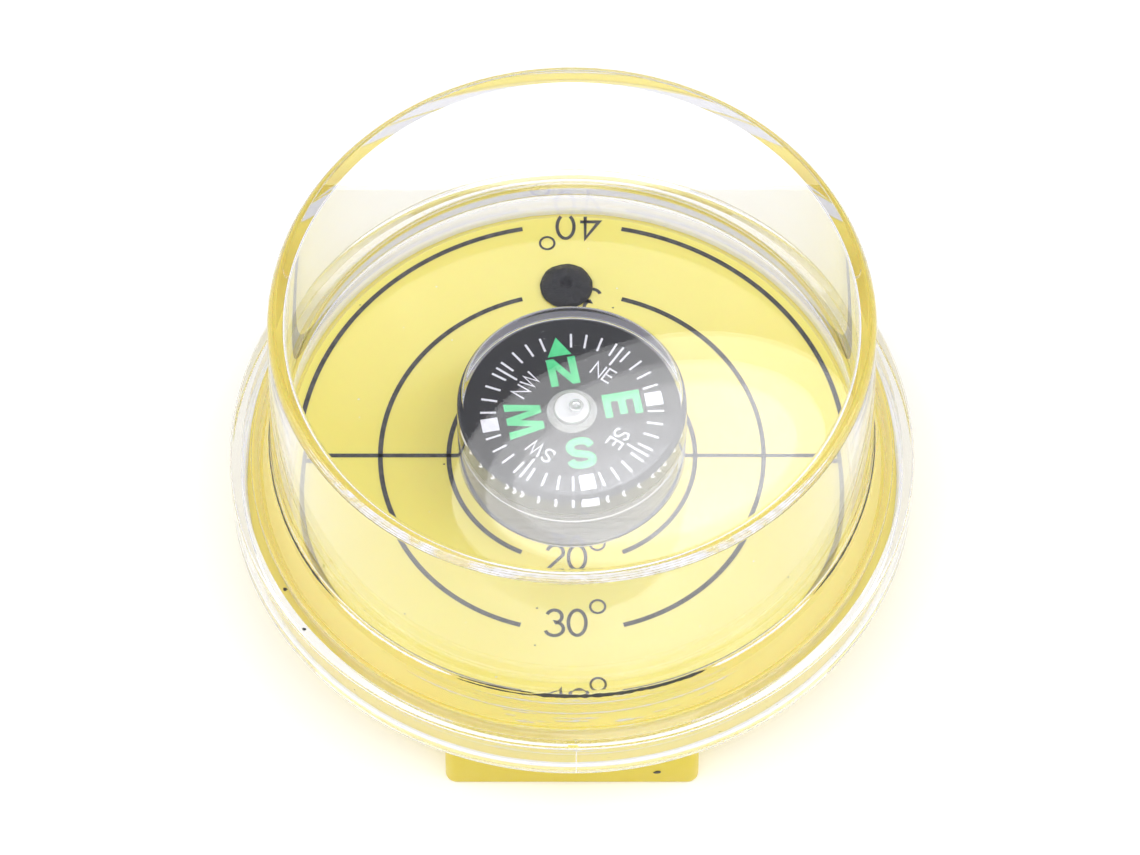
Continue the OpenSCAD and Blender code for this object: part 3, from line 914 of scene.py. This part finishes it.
# ---------------------------------------------------------------- nodes kept as they are
def dress_cad():
    kept = {"dial_adhesive": "glue", "foot_screws": "steel", "capsule_fill_plug": "glue",
            "pivot_needle": "steel", "card_magnet": "magnet", "jewel": "jewel"}
    for node, material in kept.items():
        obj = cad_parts[node]
        for spot in obj.material_slots:
            spot.material = MATERIALS[material]


build_cover()
build_corner_line()
build_rim_highlight()
build_dial()
build_dial_print()
build_base()
build_glue()
build_foot()
build_plug()
build_capsule()
build_stop()
build_card()
build_card_print()
build_wear()
dress_cad()


# ---------------------------------------------------------------- floor, light and camera
def build_floor():
    """Plain white floor, a hair under the foot bar."""
    bm = bmesh.new()
    bmesh.ops.create_circle(bm, cap_ends=True, radius=3.0, segments=96)
    bmesh.ops.translate(bm, verts=bm.verts, vec=(0, 0, -0.03 * MM))
    floor = finish_mesh("floor", bm)
    mat, nodes, links, shader = new_material("floor_white")
    mottle = noise_tex(nodes, links, 6.0, 2.0, 0.5)
    links.new(ramp(nodes, links, mottle.outputs["Fac"], [(0.3, 0.92), (0.7, 0.94)]),
              shader.inputs["Base Color"])
    shader.inputs["Roughness"].default_value = 0.8
    shader.inputs["Specular IOR Level"].default_value = 0.1
    shader.inputs["Emission Color"].default_value = (1.0, 1.0, 1.0, 1.0)
    shader.inputs["Emission Strength"].default_value = 0.12
    floor.data.materials.append(mat)


def area_light(name, place, aim, size, power, shape="RECTANGLE", roll_deg=0.0):
    """Soft light of a given width and height, turned to face a point."""
    data = bpy.data.lights.new(name, "AREA")
    data.shape = shape
    data.size, data.size_y = size
    data.energy = power
    light = link(bpy.data.objects.new(name, data))
    light.location = place
    turn = (Vector(aim) - Vector(place)).to_track_quat("-Z", "Y")
    roll = Quaternion((0, 0, 1), math.radians(roll_deg))
    light.rotation_euler = (turn @ roll).to_euler()
    return light


def build_world():
    """White sweep near the horizon, dimmer overhead."""
    world = bpy.data.worlds.new("studio")
    world.use_nodes = True
    nodes, links = world.node_tree.nodes, world.node_tree.links
    coord = nodes.new("ShaderNodeTexCoord")
    split = nodes.new("ShaderNodeSeparateXYZ")
    links.new(coord.outputs["Generated"], split.inputs[0])
    shade = ramp(nodes, links, split.outputs["Z"],
                 [(0.30, (0.95, 0.95, 1.0)), (0.55, (0.22, 0.22, 0.24)), (1.0, (0.32, 0.32, 0.35))])
    links.new(shade, nodes["Background"].inputs["Color"])
    nodes["Background"].inputs["Strength"].default_value = 1.0
    bpy.context.scene.world = world


def build_camera():
    """Long lens, looking down at the dial from in front."""
    distance, elevation = 0.8, math.radians(58.5)
    frame_width, aim_left, aim_up = 100 * MM, 0.1754 * MM, 2.7193 * MM
    ahead = Vector((0, math.cos(elevation), -math.sin(elevation)))
    right = Vector((1, 0, 0))
    up = right.cross(ahead)
    target = Vector((0, 0, DIAL_Z)) - right * aim_left + up * aim_up
    data = bpy.data.cameras.new("camera")
    data.sensor_width = 36.0
    data.lens = distance * data.sensor_width / frame_width
    data.clip_start, data.clip_end = 0.01, 20.0
    camera = link(bpy.data.objects.new("camera", data))
    camera.location = target - ahead * distance
    camera.rotation_euler = ahead.to_track_quat("-Z", "Y").to_euler()
    bpy.context.scene.camera = camera


build_floor()
build_world()
build_camera()
area_light("left_soft", (-1.0, -0.1, 0.9), (0, 0, 0.02), (0.9, 0.9), 5.8)
area_light("right_soft", (1.0, -0.1, 0.9), (0, 0, 0.02), (0.9, 0.9), 5.8)
area_light("overhead", (0, -0.42, 1.15), (0, 0, 0.02), (1.6, 0.45), 5.9)
area_light("front_soft", (0, -1.2, 0.5), (0, 0, 0.02), (1.2, 0.6), 2.5)
area_light("back_soft", (0, 1.2, 0.45), (0, 0, 0.02), (1.2, 0.5), 3.4)

# Small window that shines back from the capsule's lid. Three sheets, one a little behind the
# other and each larger, give it a soft edge.
LID_GLINT = Vector((0.0058, -0.0128, COVER_TOP))
WINDOW = Vector((0.0145, 0.4015, 0.7170))
sheets = (((0.050, 0.026), 0.0058), ((0.060, 0.033), 0.0108), ((0.072, 0.043), 0.0168))
for layer, (spread, power) in enumerate(sheets):
    place = WINDOW + (WINDOW - LID_GLINT) * 0.005 * layer
    area_light(f"window_{layer}", place, LID_GLINT, spread, power, "ELLIPSE", 15.0)
area_light("band", (0.006, 0.468, 0.677), LID_GLINT, (0.2, 0.06), 0.13)

scene = bpy.context.scene
scene.cycles.max_bounces = 48
scene.cycles.transmission_bounces = 48
scene.cycles.glossy_bounces = 16
scene.cycles.transparent_max_bounces = 32
scene.view_settings.view_transform = "Standard"
scene.view_settings.look = "None"
